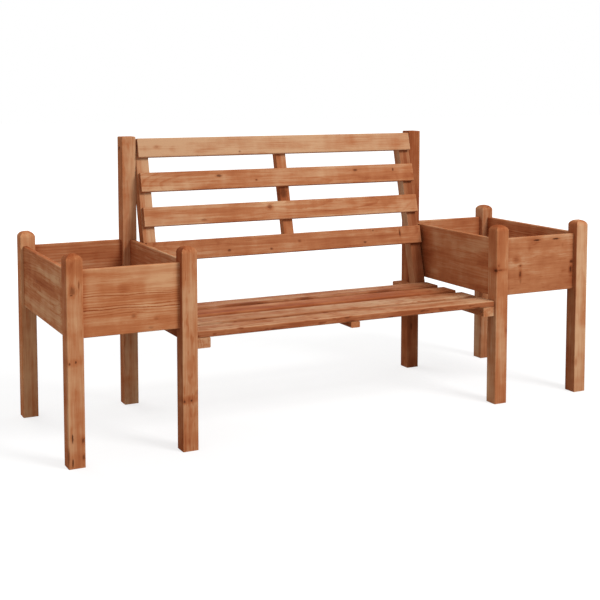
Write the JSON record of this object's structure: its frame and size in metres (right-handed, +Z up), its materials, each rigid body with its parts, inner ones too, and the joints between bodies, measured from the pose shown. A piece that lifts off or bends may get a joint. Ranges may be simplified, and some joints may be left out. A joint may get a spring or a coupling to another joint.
{
  "type": "garden bench",
  "caption": "Slatted wooden garden bench with a reclined slatted back, hung between open planter boxes that stand on square posts.",
  "frame": {"origin": "on the ground, under the middle of the bench", "axes": "+X along the bench, to the right as seen from its front; +Y from the front to the back; +Z up"},
  "size_m": [1.9, 0.62, 0.93],
  "materials": {
    "post_wood": "satin stained softwood, grain upright",
    "panel_wood": "satin stained softwood, grain level",
    "seat_wood": "satin stained softwood, grain along the seat",
    "back_wood": "satin stained softwood, grain along the back",
    "frame_wood": "satin stained softwood, grain along the stick",
    "floor_wood": "matt stained softwood",
    "fastener_steel": "dark zinc"
  },
  "bodies": {
    "root": {"back_batten_centre": "frame_wood", "back_batten_left": "frame_wood", "back_batten_right": "frame_wood", "back_slat_1": "back_wood", "back_slat_2": "back_wood", "back_slat_3": "back_wood", "back_slat_4": "back_wood", "batten_foot_screws": "fastener_steel", "batten_head_bolts": "fastener_steel", "left_back_outer_post": "post_wood", "left_back_panel": "panel_wood", "left_back_tall_post": "post_wood", "left_floor_board_1": "floor_wood", "left_floor_board_2": "floor_wood", "left_floor_board_3": "floor_wood", "left_floor_board_4": "floor_wood", "left_floor_board_5": "floor_wood", "left_front_inner_post": "post_wood", "left_front_outer_post": "post_wood", "left_front_panel": "panel_wood", "left_inner_cleat": "floor_wood", "left_inner_panel": "panel_wood", "left_outer_cleat": "floor_wood", "left_outer_panel": "panel_wood", "rail_bolts": "fastener_steel", "right_back_outer_post": "post_wood", "right_back_panel": "panel_wood", "right_back_tall_post": "post_wood", "right_floor_board_1": "floor_wood", "right_floor_board_2": "floor_wood", "right_floor_board_3": "floor_wood", "right_floor_board_4": "floor_wood", "right_floor_board_5": "floor_wood", "right_front_inner_post": "post_wood", "right_front_outer_post": "post_wood", "right_front_panel": "panel_wood", "right_inner_cleat": "floor_wood", "right_inner_panel": "panel_wood", "right_outer_cleat": "floor_wood", "right_outer_panel": "panel_wood", "seat_rail_centre": "frame_wood", "seat_rail_left": "frame_wood", "seat_rail_right": "frame_wood", "seat_slat_1": "seat_wood", "seat_slat_2": "seat_wood", "seat_slat_3": "seat_wood", "seat_slat_4": "seat_wood"}
  },
  "joints": []
}
